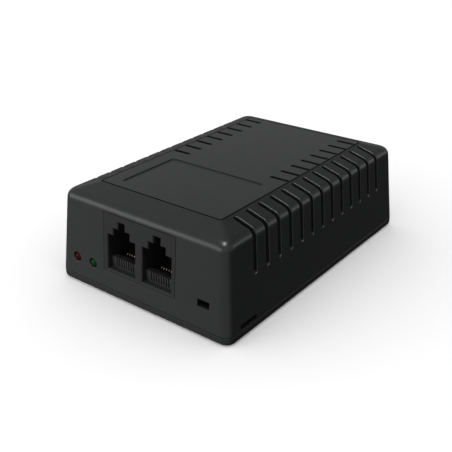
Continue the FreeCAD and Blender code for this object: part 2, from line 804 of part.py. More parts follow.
def inlet_housing():
    """The shrouded mains inlet body, with ears that sit behind the rear wall."""
    x = (-INLET_HALF_X, INLET_HALF_X)
    z = (INLET_Z - INLET_HALF_Z, INLET_Z + INLET_HALF_Z)
    body = box(x, (INLET_BACK_Y, INLET_FACE_Y), z)
    rim = [edge for edge in body.Edges if edge.BoundBox.YMin > INLET_FACE_Y - TOUCHING]
    body = body.makeFillet(INLET_EDGE_R, rim)
    ears = box((-EAR_HALF_X, EAR_HALF_X), EAR_Y, (INLET_Z - EAR_HALF_Z, INLET_Z + EAR_HALF_Z))
    cavity_y = (INLET_FACE_Y - CAVITY_DEPTH, INLET_FACE_Y + 1)
    cavity = prism_y(cut_corner_profile(CAVITY_HALF_X, CAVITY_HALF_Z, CAVITY_CUT), cavity_y)
    housing = body.fuse(ears).cut(cavity)
    slots = [inlet_pin(px, pz, INLET_BACK_Y - 1) for px, pz in pin_places()]
    return housing.cut(slots).removeSplitter()


def pin_places():
    """(x, z) of the live, neutral and earth pins."""
    low = INLET_Z - PIN_OFFSET_Z
    return ((-PIN_SPREAD, low), (PIN_SPREAD, low), (0, INLET_Z + PIN_OFFSET_Z))


def inlet_pin(x, z, back_y):
    """One flat pin with a chamfered tip, from back_y to just inside the shroud's mouth."""
    tip = INLET_FACE_Y - (EARTH_SET_BACK if x == 0 else PIN_SET_BACK)
    pin = box((x - PIN_HALF_X, x + PIN_HALF_X), (back_y, tip), (z - PIN_HALF_Z, z + PIN_HALF_Z))
    return pin.makeChamfer(PIN_TIP, [edge for edge in pin.Edges if edge.BoundBox.YMin > tip - TOUCHING])


def inlet_line_pins():
    """The live and neutral pins."""
    return group([inlet_pin(x, z, INLET_BACK_Y) for x, z in pin_places()[:2]])


def inlet_earth_pin():
    """The longer earth pin."""
    x, z = pin_places()[2]
    return inlet_pin(x, z, INLET_BACK_Y)


def inlet_terminals():
    """Three flat tails from the back of the inlet down to the board."""
    y = (INLET_BACK_Y - TAIL_THICKNESS, INLET_BACK_Y)
    places = pin_places()
    tails = [box((x - TAIL_HALF_X, x + TAIL_HALF_X), y, (BOARD_TOP, z + PIN_HALF_Z)) for x, z in places]
    return group(tails)


# ---------------------------------------------------------------- board

def circuit_board():
    """The glass-fibre board, cut back round the case's screw posts."""
    half_y = (BOARD_Y[1] - BOARD_Y[0]) / 2
    board = plate(BOARD_HALF_X, half_y, BOARD_CORNER_R, (BOARD_BOTTOM, BOARD_TOP))
    board.translate(Vector(0, sum(BOARD_Y) / 2, 0))
    thickness = (BOARD_BOTTOM - 1, BOARD_TOP + 1)
    cutters = []
    for side in (1, -1):
        cutters.extend(rod(side * BOSS_X, y, thickness, BOSS_R + BOARD_POST_GAP) for y in BOSS_Y)
        cutters.extend(rod(side * BOARD_SCREW_X, y, thickness, BOARD_HOLE_R) for y in BOARD_SCREW_Y)
    return board.cut(cutters)


def board_screws():
    """Four small pan-head screws that hold the board to the standoffs."""
    screws = []
    head_r, head_h = BOARD_SCREW_HEAD
    head_z = (BOARD_TOP, BOARD_TOP + head_h)
    shank_z = (FLOOR_TOP + STANDOFF_BORE[1] + SCREW_END_GAP, BOARD_TOP)
    for side in (1, -1):
        for y in BOARD_SCREW_Y:
            x = side * BOARD_SCREW_X
            head = rod(x, y, head_z, head_r)
            head = head.makeFillet(SCREW_HEAD_EDGE, level_edges(head, head_z[1]))
            head = head.cut(cross_recess(x, y, head_z[1], BOARD_CROSS_LENGTH))
            screws.append(head.fuse(rod(x, y, shank_z, BOARD_SCREW_R)).removeSplitter())
    return group(screws)


def insulation_sheet():
    """A thin sheet on the floor, under the board's solder side."""
    thickness = (FLOOR_TOP, FLOOR_TOP + SHEET_THICKNESS)
    sheet = plate(WIDTH / 2 - SHEET_INSET, DEPTH / 2 - SHEET_INSET, BOARD_CORNER_R, thickness)
    cutters = []
    clear = COLUMN_R + SHEET_GAP
    for side in (1, -1):
        x = sorted((side * (BOSS_X - clear), side * WIDTH / 2))
        cutters.append(box(x, (-DEPTH / 2, BOSS_Y[0] + clear), thickness))
        cutters.append(box(x, (BOSS_Y[1] - clear, DEPTH / 2), thickness))
        for y in BOARD_SCREW_Y:
            cutters.append(rod(side * BOARD_SCREW_X, y, thickness, STANDOFF_R + SHEET_GAP))
    return sheet.cut(cutters)


# ---------------------------------------------------------------- board parts

def leads_down(places, top):
    """Straight leads from a part's underside to the board."""
    return [rod(x, y, (BOARD_TOP, top), COMPONENT_LEAD_R) for x, y in places]


def disc_part(place, size, along_x):
    """A coated disc on two leads, standing on edge. along_x says which way its axis runs."""
    x, y = place
    radius, thickness = size
    z = BOARD_TOP + DISC_STAND + radius
    half = thickness / 2
    if along_x:
        disc = rod_x((x - half, x + half), y, z, radius)
        feet = [(x, y - DISC_LEAD_HALF), (x, y + DISC_LEAD_HALF)]
    else:
        disc = rod_y(x, (y - half, y + half), z, radius)
        feet = [(x - DISC_LEAD_HALF, y), (x + DISC_LEAD_HALF, y)]
    disc = disc.makeFillet(half * DISC_ROUNDING, disc.Edges)
    leads = leads_down(feet, BOARD_TOP + DISC_STAND + DISC_LEAD_OVERLAP)
    return disc.fuse(leads).removeSplitter()


def can_capacitor(x, y, size):
    """A round electrolytic can with a rolled groove near its foot and a scored top."""
    radius, height = size
    top = BOARD_TOP + height
    can = rod(x, y, (BOARD_TOP, top), radius)
    can = can.makeFillet(CAN_EDGE_R, can.Edges)
    groove_r = radius + CAN_GROOVE_R / 2
    ring = Part.makeTorus(groove_r, CAN_GROOVE_R, Vector(x, y, CAN_GROOVE_Z), Vector(0, 0, 1))
    score = cross_recess(x, y, top + CROSS_DEPTH - CAN_SCORE, radius)
    return can.cut(ring).cut(score)


def mains_fuse():
    """A radial fuse in a rectangular moulding."""
    z = (BOARD_TOP + FUSE_STAND, BOARD_TOP + FUSE_STAND + FUSE_HEIGHT)
    block = soft_box(FUSE_X, FUSE_Y, z, FUSE_STAND)
    x = sum(FUSE_X) / 2
    y = sum(FUSE_Y) / 2
    feet = leads_down([(x - FUSE_LEAD_HALF, y), (x + FUSE_LEAD_HALF, y)], z[0])
    return block.fuse(feet).removeSplitter()


def varistor():
    """A surge-absorbing disc across the mains."""
    return disc_part(VARISTOR_PLACE, VARISTOR_SIZE, along_x=False)


def inrush_thermistor():
    """A disc that limits the switch-on surge."""
    return disc_part(THERMISTOR_PLACE, THERMISTOR_SIZE, along_x=True)


def y_capacitor():
    """A small disc capacitor that bridges the two sides."""
    return disc_part(Y_CAPACITOR_PLACE, Y_CAPACITOR_SIZE, along_x=True)


def x2_capacitor():
    """A boxed film capacitor for mains filtering."""
    return soft_box(X2_X, X2_Y, (BOARD_TOP, BOARD_TOP + X2_HEIGHT), CAN_EDGE_R)


def choke_core():
    """A ferrite ring, lying flat, for the mains filter."""
    x, y = CHOKE_PLACE
    ring = rod(x, y, CHOKE_Z, CHOKE_R[1]).cut(rod(x, y, CHOKE_Z, CHOKE_R[0]))
    return ring.makeFillet(CAN_EDGE_R, ring.Edges)


def choke_windings():
    """Two banks of wire turns round the ring, as separate loops."""
    turns = []
    centre = Vector(CHOKE_PLACE[0], CHOKE_PLACE[1], sum(CHOKE_Z) / 2)
    inner = CHOKE_R[0] - TURN_GAP
    outer = CHOKE_R[1] + TURN_GAP
    up = Vector(0, 0, (CHOKE_Z[1] - CHOKE_Z[0]) / 2 + TURN_GAP)
    for bank in (0, 180):
        for step in range(-TURNS_EACH_WAY, TURNS_EACH_WAY + 1):
            angle = math.radians(bank + step * TURN_STEP)
            out = Vector(math.cos(angle), math.sin(angle), 0)
            corners = [centre + out * inner - up, centre + out * outer - up]
            corners += [centre + out * outer + up, centre + out * inner + up]
            middle = (corners[0] + corners[1]) / 2
            loop = [middle] + corners[1:] + [corners[0], middle]
            turns.append(bent_wire(loop, TURN_BEND, TURN_R))
    return group(turns)


def bridge_rectifier():
    """A flat four-leg rectifier standing on its legs."""
    block = box(BRIDGE_X, BRIDGE_Y, BRIDGE_Z)
    block = block.makeChamfer(BRIDGE_EDGE, block.Edges)
    x = sum(BRIDGE_X) / 2
    places = [(x, BRIDGE_FIRST_Y + BRIDGE_PITCH * number) for number in range(BRIDGE_LEADS)]
    return block.fuse(leads_down(places, BRIDGE_Z[0] + BRIDGE_EDGE)).removeSplitter()


def bulk_capacitor():
    """The high-voltage electrolytic can."""
    x, y = BULK_PLACE
    return can_capacitor(x, y, BULK_SIZE)


def output_capacitors():
    """Three low-voltage electrolytic cans on the output side."""
    return group([can_capacitor(x, y, OUTPUT_CAN_SIZE) for x, y in OUTPUT_CAN_PLACES])


def output_inductor():
    """A drum-core filter inductor."""
    x, y = INDUCTOR_PLACE
    waist_r, drum_r = INDUCTOR_R
    top = BOARD_TOP + INDUCTOR_HEIGHT
    waist_z = (BOARD_TOP + INDUCTOR_FLANGE, top - INDUCTOR_FLANGE)
    waist = rod(x, y, waist_z, drum_r + OVERLAP).cut(rod(x, y, waist_z, waist_r))
    return rod(x, y, (BOARD_TOP, top), drum_r).cut(waist)


# ---------------------------------------------------------------- power packages

def tab_package(face_x, y):
    """A three-leg power package whose metal tab lies against a plate at face_x."""
    low = BOARD_TOP + TAB_STAND
    high = low + PACKAGE_HEIGHT
    across = (y - PACKAGE_HALF_Y, y + PACKAGE_HALF_Y)
    body = box((face_x, face_x + PACKAGE_THICKNESS), across, (low, high))
    tab = box((face_x, face_x + TAB_THICKNESS), across, (high, high + TAB_HEIGHT))
    hole = rod_x((face_x - 1, face_x + TAB_THICKNESS + 1), y, TAB_HOLE_Z, TAB_HOLE_R)
    places = [(face_x + PACKAGE_LEAD_X, y + step * PACKAGE_PITCH) for step in (-1, 0, 1)]
    return body.fuse([tab] + leads_down(places, low)).removeSplitter().cut(hole)


def heat_sink(face_x, y, hole_y):
    """An aluminium plate with its top folded over and a screw hole."""
    top = BOARD_TOP + SINK_HEIGHT
    back_x = face_x - SINK_THICKNESS
    fold_length, fold_thickness = SINK_FOLD
    upright = box((back_x, face_x), y, (BOARD_TOP, top))
    fold = box((back_x - fold_length, back_x), y, (top - fold_thickness, top))
    hole = rod_x((back_x - 1, face_x + 1), hole_y, TAB_HOLE_Z, TAB_HOLE_R)
    return upright.fuse(fold).removeSplitter().cut(hole)


def tab_screw(face_x, y):
    """A machine screw through the tab and the plate, with its nut."""
    head_r, head_h = TAB_SCREW_HEAD
    tab_x = face_x + TAB_THICKNESS
    back_x = face_x - SINK_THICKNESS
    head = rod_x((tab_x, tab_x + head_h), y, TAB_HOLE_Z, head_r)
    nut = rod_x((back_x - TAB_NUT_HEIGHT, back_x), y, TAB_HOLE_Z, head_r)
    shank = rod_x((back_x - TAB_NUT_HEIGHT - TAB_SCREW_END, tab_x + head_h / 2), y, TAB_HOLE_Z, TAB_SCREW_R)
    return head.fuse([shank, nut]).removeSplitter()


def switching_transistor():
    """The main switch, screwed to its heat sink."""
    return tab_package(PRIMARY_FACE_X, PRIMARY_Y)


def primary_heat_sink():
    """The plate behind the main switch."""
    return heat_sink(PRIMARY_FACE_X, PRIMARY_SINK_Y, PRIMARY_Y)


def output_diode():
    """The output rectifier, screwed to its heat sink."""
    return tab_package(SECONDARY_FACE_X, SECONDARY_Y)


def secondary_heat_sink():
    """The plate behind the output rectifier."""
    return heat_sink(SECONDARY_FACE_X, SECONDARY_SINK_Y, SECONDARY_Y)


def heat_sink_screws():
    """One screw and nut for each power package."""
    return group([tab_screw(PRIMARY_FACE_X, PRIMARY_Y), tab_screw(SECONDARY_FACE_X, SECONDARY_Y)])


# ---------------------------------------------------------------- transformer

def transformer_core():
    """Two E-shaped ferrite halves that meet in the middle."""
    halves = []
    for side in (1, -1):
        near = TRANSFORMER_Y + side * CORE_MEET
        far = TRANSFORMER_Y + side * CORE_HALF_Y
        half = box((-CORE_HALF_X, CORE_HALF_X), sorted((near, far)), CORE_Z)
        gap = sorted((near - side, TRANSFORMER_Y + side * COIL_HALF_Y))
        for sx in (1, -1):
            limits = sorted((sx * LEG_HALF, sx * (CORE_HALF_X - LEG_HALF)))
            half = half.cut(box(limits, gap, CORE_Z))
        halves.append(half)
    return group(halves)


def round_core(margin):
    """Heights that clear the core by a margin above and below."""
    return CORE_Z[0] - margin, CORE_Z[1] + margin


def transformer_bobbin():
    """The coil former: a square tube with end flanges and two pin rails."""
    reach = COIL_HALF_Y - BOBBIN_GAP
    y = (TRANSFORMER_Y - reach, TRANSFORMER_Y + reach)
    outer = LEG_HALF + BOBBIN_WALL
    flange_x = (-FLANGE_HALF_X, FLANGE_HALF_X)
    tube = box((-outer, outer), y, round_core(BOBBIN_WALL))
    parts = []
    for side in (1, -1):
        end = TRANSFORMER_Y + side * reach
        inside = end - side * FLANGE_THICKNESS
        flange_z = (BOARD_TOP + FLANGE_STAND, CORE_Z[1] + FLANGE_ABOVE)
        parts.append(box(flange_x, sorted((end, inside)), flange_z))
        parts.append(box(flange_x, sorted((inside, end + side * RAIL_REACH)), (BOARD_TOP, RAIL_TOP)))
    bore = LEG_HALF + BOBBIN_GAP
    hollow = box((-bore, bore), (y[0] - 1, y[1] + 1), round_core(BOBBIN_GAP))
    return tube.fuse(parts).removeSplitter().cut(hollow)


def transformer_winding():
    """The taped coil round the former."""
    reach = COIL_HALF_Y - BOBBIN_GAP - FLANGE_THICKNESS - BOBBIN_GAP
    y = (TRANSFORMER_Y - reach, TRANSFORMER_Y + reach)
    coil = box((-COIL_HALF_X, COIL_HALF_X), y, (CORE_Z[0] - COIL_BELOW, CORE_Z[1] + COIL_ABOVE))
    coil = coil.makeFillet(COIL_EDGE_R, [edge for edge in coil.Edges if edge.BoundBox.YLength > reach])
    clear = BOBBIN_WALL + BOBBIN_GAP / 2
    outer = LEG_HALF + clear
    return coil.cut(box((-outer, outer), y, round_core(clear)))


# ---------------------------------------------------------------- chips

def chip_package(place, size, pins):
    """A flat chip with a row of bent legs along each long side."""
    x, y = place
    length, breadth, height = size
    left = x - length / 2
    z = (BOARD_TOP + CHIP_STAND, BOARD_TOP + CHIP_STAND + height)
    body = box((left, left + length), (y - breadth / 2, y + breadth / 2), z)
    body = body.makeChamfer(CHIP_EDGE, level_edges(body, z[1]))
    legs = []
    for number in range(pins):
        leg_x = left + length / pins * (number + 0.5)
        across = (leg_x - CHIP_LEG_HALF, leg_x + CHIP_LEG_HALF)
        for side in (1, -1):
            edge = y + side * breadth / 2
            knee = sorted((edge, edge + side * CHIP_LEG_KNEE))
            foot = sorted((edge, edge + side * CHIP_LEG_REACH))
            legs.append(box(across, knee, (BOARD_TOP, z[0] + height / 2)))
            legs.append(box(across, foot, (BOARD_TOP, BOARD_TOP + CHIP_LEG_THICKNESS)))
    dimple_z = (z[1] - DIMPLE_DEPTH, z[1] + 1)
    dimple = rod(left + DIMPLE_INSET, y - breadth / 2 + DIMPLE_INSET, dimple_z, DIMPLE_R)
    return body.fuse(legs).removeSplitter().cut(dimple)


def pwm_controller():
    """The small chip that drives the main switch."""
    return chip_package(*PWM_CHIP, pins=4)


def poe_controller():
    """The chip that detects and powers the far device."""
    return chip_package(*POE_CHIP, pins=10)


def optocoupler():
    """The isolated feedback link."""
    return chip_package(*OPTO_CHIP, pins=2)


def magnetics(side):
    """A moulded isolation transformer for one socket's data pairs."""
    return chip_package((side * MAGNETICS_X, MAGNETICS_Y), MAGNETICS_SIZE, pins=12)


def chip_components():
    """Small surface-mounted resistors and capacitors."""
    places = [(x, y) for x in SMALL_CHIP_COLUMNS for y in SMALL_CHIP_ROWS]
    places += [(x, DRIVER_CHIP_Y) for x in DRIVER_CHIP_XS]
    half_x, half_y = SMALL_CHIP_HALF
    height = (BOARD_TOP, BOARD_TOP + SMALL_CHIP_HEIGHT)
    return group([box((x - half_x, x + half_x), (y - half_y, y + half_y), height) for x, y in places])


# ---------------------------------------------------------------- all parts

PARTS = {
    "top_cover": top_cover,
    "base_cover": base_cover,
    "case_screws": case_screws,
    "rubber_feet": rubber_feet,
    "jack_housing": jack_housing,
    "data_in_contact_block": lambda: contact_block(port_centres()[0]),
    "power_out_contact_block": lambda: contact_block(port_centres()[1]),
    "data_in_contacts": lambda: contacts(port_centres()[0]),
    "power_out_contacts": lambda: contacts(port_centres()[1]),
    "red_led": lambda: led(LED_X[0]),
    "green_led": lambda: led(LED_X[1]),
    "led_leads": led_leads,
    "inlet_housing": inlet_housing,
    "inlet_line_pins": inlet_line_pins,
    "inlet_earth_pin": inlet_earth_pin,
    "inlet_terminals": inlet_terminals,
    "circuit_board": circuit_board,
    "board_screws": board_screws,
    "insulation_sheet": insulation_sheet,
    "mains_fuse": mains_fuse,
    "varistor": varistor,
    "x2_capacitor": x2_capacitor,
    "choke_core": choke_core,
    "choke_windings": choke_windings,
    "inrush_thermistor": inrush_thermistor,
    "bridge_rectifier": bridge_rectifier,
    "bulk_capacitor": bulk_capacitor,
    "switching_transistor": switching_transistor,
    "primary_heat_sink": primary_heat_sink,
    "output_diode": output_diode,
    "secondary_heat_sink": secondary_heat_sink,
    "heat_sink_screws": heat_sink_screws,
    "pwm_controller": pwm_controller,
    "transformer_core": transformer_core,
    "transformer_bobbin": transformer_bobbin,
    "transformer_winding": transformer_winding,
    "optocoupler": optocoupler,
    "y_capacitor": y_capacitor,
    "output_capacitors": output_capacitors,
    "output_inductor": output_inductor,
    "data_in_magnetics": lambda: magnetics(-1),
    "power_out_magnetics": lambda: magnetics(1),
    "poe_controller": poe_controller,
    "chip_components": chip_components,
}

os.makedirs("parts", exist_ok=True)
for name, make in PARTS.items():
    shape = make()
    shape.exportStep("parts/" + name + ".step")
    print(name, len(shape.Solids), "solids", shape.isValid(), round(shape.Volume, 1), "mm3")
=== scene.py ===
import json
import math

import bpy
from mathutils import Matrix, Vector

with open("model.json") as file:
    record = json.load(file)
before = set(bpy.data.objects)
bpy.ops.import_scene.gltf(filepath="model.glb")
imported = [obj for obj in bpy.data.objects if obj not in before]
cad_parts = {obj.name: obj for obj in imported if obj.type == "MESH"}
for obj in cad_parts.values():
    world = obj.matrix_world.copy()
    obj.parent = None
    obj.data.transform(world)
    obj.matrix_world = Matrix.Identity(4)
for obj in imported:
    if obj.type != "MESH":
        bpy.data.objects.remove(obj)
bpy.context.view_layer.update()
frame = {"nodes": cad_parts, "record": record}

# Looks for the Power over Ethernet injector. Metres. The CAD nodes keep their shapes.
MM = 0.001
NODES = frame["nodes"]


# ---------------------------------------------------------------- camera

VIEW_AZIMUTH = math.radians(37.766)
VIEW_ELEVATION = math.radians(26.258)
VIEW_ROLL = math.radians(-0.3)
VIEW_DISTANCE = 257.52 * MM
VIEW_SHIFT_RIGHT = -4.477 * MM
VIEW_SHIFT_UP = -7.681 * MM
VIEW_TARGET = Vector((0, 0, 17.3 * MM))
SENSOR = 36.0
LENS = 57.29


def make_camera():
    """The camera at the photograph's angle, with depth of field off."""
    level = math.cos(VIEW_ELEVATION)
    back = Vector((
        math.sin(VIEW_AZIMUTH) * level,
        -math.cos(VIEW_AZIMUTH) * level,
        math.sin(VIEW_ELEVATION),
    ))
    right = (-back).cross(Vector((0, 0, 1))).normalized()
    up = back.cross(right)
    place = VIEW_TARGET + back * VIEW_DISTANCE + right * VIEW_SHIFT_RIGHT + up * VIEW_SHIFT_UP
    turned_right = right * math.cos(VIEW_ROLL) + up * math.sin(VIEW_ROLL)
    turned_up = up * math.cos(VIEW_ROLL) - right * math.sin(VIEW_ROLL)
    data = bpy.data.cameras.new("camera")
    data.sensor_width = SENSOR
    data.lens = LENS
    data.clip_start = 0.01
    data.clip_end = 50.0
    camera = bpy.data.objects.new("camera", data)
    turn = Matrix((turned_right, turned_up, back)).transposed().to_4x4()
    camera.matrix_world = Matrix.Translation(place) @ turn
    bpy.context.scene.collection.objects.link(camera)
    bpy.context.scene.camera = camera


# ---------------------------------------------------------------- node helpers

class Graph:
    """Short names for the nodes and links of one shader tree."""

    def __init__(self, tree):
        self.tree = tree
        tree.nodes.clear()

    def add(self, kind, **settings):
        node = self.tree.nodes.new("ShaderNode" + kind)
        for key, value in settings.items():
            setattr(node, key, value)
        return node

    def link(self, source, target):
        self.tree.links.new(source, target)

    def math(self, operation, a, b=None):
        node = self.add("Math", operation=operation)
        for socket, value in zip(node.inputs, (a, b)):
            self.feed(socket, value)
        return node.outputs[0]

    def feed(self, socket, value):
        """Links a node's output, or sets a plain number or colour."""
        if value is None:
            return
        if isinstance(value, bpy.types.NodeSocket):
            self.link(value, socket)
        else:
            socket.default_value = value

    def feed_colour(self, socket, colour):
        """Links a node's colour, or sets a plain one given as red, green and blue."""
        plain = not isinstance(colour, bpy.types.NodeSocket)
        self.feed(socket, (*colour, 1) if plain else colour)

    def place(self):
        """Position on the object, in metres."""
        return self.add("TexCoord").outputs["Object"]

    def stretched(self, scale):
        """Position on the object, stretched by a factor on each axis."""
        node = self.add("Mapping")
        self.link(self.place(), node.inputs["Vector"])
        node.inputs["Scale"].default_value = scale
        return node.outputs[0]

    def noise(self, size, detail=2.0, rough=0.5, where=None):
        """Cloudy noise from 0 to 1 whose features are about this many metres across."""
        node = self.add("TexNoise")
        self.link(where or self.place(), node.inputs["Vector"])
        node.inputs["Scale"].default_value = 1 / size
        node.inputs["Detail"].default_value = detail
        node.inputs["Roughness"].default_value = rough
        return node.outputs["Fac"]

    def cells(self, size):
        """Distance from the middle of each of many cells about this many metres across."""
        node = self.add("TexVoronoi", feature="F1")
        self.link(self.place(), node.inputs["Vector"])
        node.inputs["Scale"].default_value = 1 / size
        return node.outputs["Distance"]

    def spread(self, value, low, high, to_low, to_high):
        """Maps one range to another, held at the ends."""
        node = self.add("MapRange")
        self.link(value, node.inputs["Value"])
        ends = {"From Min": low, "From Max": high, "To Min": to_low, "To Max": to_high}
        for name, number in ends.items():
            node.inputs[name].default_value = number
        return node.outputs["Result"]

    def blend(self, amount, first, second):
        """Mixes two colours."""
        node = self.add("Mix", data_type="RGBA")
        self.feed(node.inputs["Factor"], amount)
        self.feed_colour(node.inputs[6], first)
        self.feed_colour(node.inputs[7], second)
        return node.outputs[2]

    def bump(self, height, depth, strength=1.0, normal=None):
        """Normals of a relief this many metres deep."""
        node = self.add("Bump")
        node.inputs["Strength"].default_value = strength
        node.inputs["Distance"].default_value = depth
        self.link(height, node.inputs["Height"])
        if normal is not None:
            self.link(normal, node.inputs["Normal"])
        return node.outputs[0]

    def soft_edges(self, radius):
        """Normals that round off sharp edges."""
        node = self.add("Bevel", samples=4)
        node.inputs["Radius"].default_value = radius
        return node.outputs[0]

    def edge_mask(self, radius):
        """1 close to sharp edges, 0 on open faces."""
        away = self.add("VectorMath", operation="DOT_PRODUCT")
        self.link(self.soft_edges(radius), away.inputs[0])
        self.link(self.add("NewGeometry").outputs["Normal"], away.inputs[1])
        return self.spread(away.outputs["Value"], 0.72, 0.99, 1.0, 0.0)

    def facing(self, axis):
        """How far the surface faces along one axis, from -1 to 1."""
        split = self.add("SeparateXYZ")
        self.link(self.add("NewGeometry").outputs["Normal"], split.inputs[0])
        return split.outputs[axis]

    def surface(self, colour, rough, normal=None, **fixed):
        """The shader and the output. Extra names are the shader's own sockets, with _ for each space."""
        shader = self.add("BsdfPrincipled")
        self.feed_colour(shader.inputs["Base Color"], colour)
        self.feed(shader.inputs["Roughness"], rough)
        self.feed(shader.inputs["Normal"], normal)
        for name, value in fixed.items():
            shader.inputs[name.replace("_", " ")].default_value = value
        out = self.add("OutputMaterial")
        self.link(shader.outputs[0], out.inputs["Surface"])
        return shader


def new_material(slot):
    material = bpy.data.materials.new("look_" + slot)
    material.use_nodes = True
    return material, Graph(material.node_tree)


def shaded(colour, factor):
    return tuple(channel * factor for channel in colour)


# ---------------------------------------------------------------- finishes

EDGE_PALER = 1.9
EDGE_POLISH = 0.08
GRAIN_GLOSS = 0.04


def moulded(slot, colour, rough, grain=0.28, depth=0.006, edge=0.08, wear=0.1, cloudy=0.04, specular=0.5):
    """Moulded plastic: a fine spark-eroded grain, cloudy gloss and slightly polished edges.

    The grain, its depth and the edge radius are in millimetres. The other numbers are plain amounts.
    """
    material, g = new_material(slot)
    cloud = g.noise(9 * MM, detail=4)
    rub = g.noise(1.6 * MM, detail=3, rough=0.7)
    pits = g.noise(grain * MM, detail=3, rough=0.6)
    edges = g.math("MULTIPLY", g.edge_mask(edge * MM), g.spread(rub, 0.35, 0.75, 0.2, 1.0))
    darker, paler = shaded(colour, 1 - cloudy), shaded(colour, 1 + cloudy)
    tone = g.blend(g.spread(cloud, 0.3, 0.7, 0.0, 1.0), darker, paler)
    tone = g.blend(g.math("MULTIPLY", edges, wear), tone, shaded(colour, EDGE_PALER))
    gloss = g.spread(cloud, 0.3, 0.7, rough - cloudy / 4, rough + cloudy / 4)
    gloss = g.math("SUBTRACT", gloss, g.math("MULTIPLY", edges, EDGE_POLISH))
    gloss = g.math("ADD", gloss, g.spread(pits, 0.2, 0.8, -GRAIN_GLOSS, GRAIN_GLOSS))
    normal = g.bump(pits, depth * MM, normal=g.soft_edges(edge * MM))
    g.surface(tone, gloss, normal, Specular_IOR_Level=specular)
    return material


def metal(slot, colour, rough, brushed=(1, 1, 1), size=0.12, depth=0.002, edge=0.08):
    """Bare or plated metal with fine drawing or rolling marks."""
    material, g = new_material(slot)
    marks = g.noise(size * MM, detail=3, rough=0.6, where=g.stretched(brushed))
    stain = g.noise(2.2 * MM, detail=4, rough=0.6)
    tone = g.blend(g.spread(stain, 0.35, 0.7, 0.0, 1.0), shaded(colour, 0.86), colour)
    gloss = g.spread(marks, 0.25, 0.75, rough - 0.05, rough + 0.07)
    gloss = g.math("ADD", gloss, g.spread(stain, 0.3, 0.7, 0.0, 0.05))
    normal = g.bump(marks, depth * MM, normal=g.soft_edges(edge * MM))
    g.surface(tone, gloss, normal, Metallic=1.0)
    return material


def dipped(slot, colour, rough=0.28):
    """A dipped epoxy coating: glossy, slightly lumpy, with pinholes. It covers the leads too."""
    material, g = new_material(slot)
    lumps = g.noise(1.4 * MM, detail=2)
    pinholes = g.spread(g.cells(0.55 * MM), 0.0, 0.12, 1.0, 0.0)
    tone = g.blend(g.spread(lumps, 0.3, 0.7, 0.0, 1.0), shaded(colour, 0.85), shaded(colour, 1.1))
    tone = g.blend(g.math("MULTIPLY", pinholes, 0.4), tone, shaded(colour, 0.4))
    gloss = g.math("ADD", rough, g.math("MULTIPLY", pinholes, 0.3))
    g.surface(tone, gloss, g.bump(lumps, 0.12 * MM))
    return material


def lens(slot, colour):
    """Deeply tinted epoxy of an unlit lamp, dark enough to look solid."""
    material, g = new_material(slot)
    swirl = g.noise(0.7 * MM, detail=2)
    tone = g.blend(g.spread(swirl, 0.3, 0.7, 0.0, 1.0), shaded(colour, 0.8), colour)
    gloss = g.spread(swirl, 0.3, 0.7, 0.2, 0.3)
    g.surface(tone, gloss, g.bump(swirl, 0.01 * MM), Specular_IOR_Level=0.1)
    return material


def board_mask(slot):
    """Green solder mask over copper tracks, with pale glass-fibre edges."""
    material, g = new_material(slot)
    weave = g.add("TexWave", wave_type="BANDS", bands_direction="X")
    g.link(g.place(), weave.inputs["Vector"])
    weave.inputs["Scale"].default_value = 900.0
    weave.inputs["Distortion"].default_value = 0.4
    blocks = g.add("TexVoronoi", distance="CHEBYCHEV", feature="F1")
    g.link(g.place(), blocks.inputs["Vector"])
    blocks.inputs["Scale"].default_value = 1 / (7 * MM)
    rings = g.math("FRACT", g.math("MULTIPLY", blocks.outputs["Distance"], 6.0))
    track = g.spread(rings, 0.42, 0.5, 0.0, 1.0)
    flat = g.spread(g.math("ABSOLUTE", g.facing(2)), 0.6, 0.9, 0.0, 1.0)
    green = g.blend(track, (0.012, 0.085, 0.03), (0.022, 0.16, 0.05))
    green = g.blend(g.spread(weave.outputs["Fac"], 0.0, 1.0, 0.0, 0.18), green, (0.03, 0.2, 0.07))
    tone = g.blend(flat, (0.42, 0.36, 0.16), green)
    gloss = g.spread(track, 0.0, 1.0, 0.34, 0.26)
    g.surface(tone, gloss, g.bump(track, 0.03 * MM, strength=0.8))
    return material


def fish_paper(slot):
    """Pressed insulating paper with short fibres."""
    material, g = new_material(slot)
    fibres = g.noise(0.5 * MM, detail=5, rough=0.7, where=g.stretched((1, 4, 1)))
    tone = g.blend(fibres, (0.55, 0.5, 0.36), (0.78, 0.74, 0.6))
    g.surface(tone, 0.85, g.bump(fibres, 0.03 * MM))
    return material


def sleeve(slot):
    """A shrink sleeve with a pale polarity stripe on one side and a bare aluminium top."""
    material, g = new_material(slot)
    ripple = g.noise(0.8 * MM, detail=2, where=g.stretched((1, 1, 3)))
    stripe = g.spread(g.facing(0), 0.9, 0.92, 0.0, 1.0)
    top = g.spread(g.facing(2), 0.85, 0.95, 0.0, 1.0)
    tone = g.blend(stripe, (0.012, 0.02, 0.06), (0.5, 0.52, 0.55))
    tone = g.blend(top, tone, (0.7, 0.71, 0.72))
    tone = g.blend(g.spread(ripple, 0.3, 0.7, 0.0, 0.25), tone, (0.02, 0.025, 0.04))
    shader = g.surface(tone, g.spread(ripple, 0.3, 0.7, 0.2, 0.34), g.bump(ripple, 0.03 * MM))
    g.link(top, shader.inputs["Metallic"])
    return material


